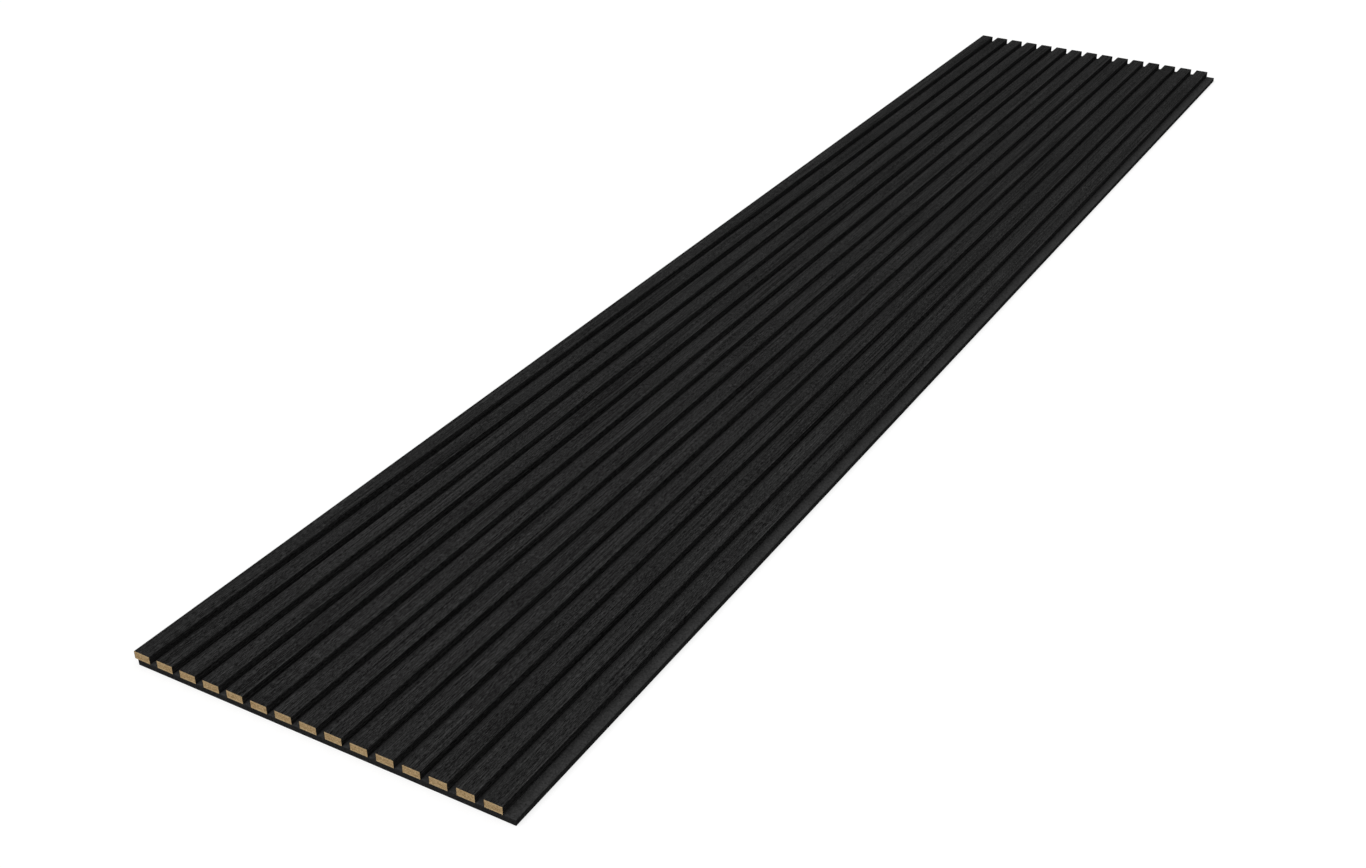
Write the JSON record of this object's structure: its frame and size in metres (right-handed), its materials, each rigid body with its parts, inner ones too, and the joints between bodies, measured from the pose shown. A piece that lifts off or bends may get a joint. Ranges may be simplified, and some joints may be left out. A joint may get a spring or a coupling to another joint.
{
  "type": "acoustic slat wall panel",
  "caption": "Long flat wall panel of black veneered wood slats, evenly spaced on a black felt board, with a felt tongue along one side that laps under the next panel.",
  "frame": {"origin": "bottom centre of the whole panel's box, on the back of the felt; the panel lies on its back with the slats up", "axes": "+Z out of the wall, through the slats; +Y along the slats; +X across them, towards the felt tongue"},
  "size_m": [0.605, 3, 0.021],
  "materials": {
    "felt": "black needled polyester felt board",
    "slat_core": "raw sawn MDF, tan",
    "veneer": "black-stained oak veneer, matt lacquer"
  },
  "bodies": {
    "root": {"felt_backing": "felt", "slat_core_01": "slat_core", "slat_core_02": "slat_core", "slat_core_03": "slat_core", "slat_core_04": "slat_core", "slat_core_05": "slat_core", "slat_core_06": "slat_core", "slat_core_07": "slat_core", "slat_core_08": "slat_core", "slat_core_09": "slat_core", "slat_core_10": "slat_core", "slat_core_11": "slat_core", "slat_core_12": "slat_core", "slat_core_13": "slat_core", "slat_core_14": "slat_core", "slat_core_15": "slat_core", "slat_veneer_01": "veneer", "slat_veneer_02": "veneer", "slat_veneer_03": "veneer", "slat_veneer_04": "veneer", "slat_veneer_05": "veneer", "slat_veneer_06": "veneer", "slat_veneer_07": "veneer", "slat_veneer_08": "veneer", "slat_veneer_09": "veneer", "slat_veneer_10": "veneer", "slat_veneer_11": "veneer", "slat_veneer_12": "veneer", "slat_veneer_13": "veneer", "slat_veneer_14": "veneer", "slat_veneer_15": "veneer"}
  },
  "joints": []
}
